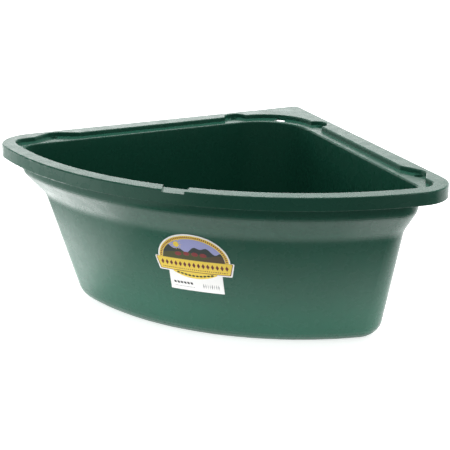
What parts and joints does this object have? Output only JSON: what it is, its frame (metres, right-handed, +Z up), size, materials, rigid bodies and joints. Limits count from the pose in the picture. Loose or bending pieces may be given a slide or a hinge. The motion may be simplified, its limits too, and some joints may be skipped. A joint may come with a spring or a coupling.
{
  "type": "corner feeder",
  "caption": "Quarter-round moulded plastic feed tub for a stall corner, with a flanged rim, ledge pockets with screw holes, and paper labels on its curved front.",
  "frame": {"origin": "middle of the underside, centred on the whole tub's width and depth", "axes": "+Z up, +Y into the room corner, +X from one rim tip to the other"},
  "size_m": [0.638, 0.486, 0.238],
  "materials": {
    "green_polyethylene": "satin dark green low-density polyethylene",
    "printed_label": "glossy printed paper label",
    "white_sticker": "plain white paper"
  },
  "bodies": {
    "root": {"tub": "green_polyethylene", "arched_label": "printed_label", "capacity_sticker": "white_sticker"}
  },
  "joints": []
}
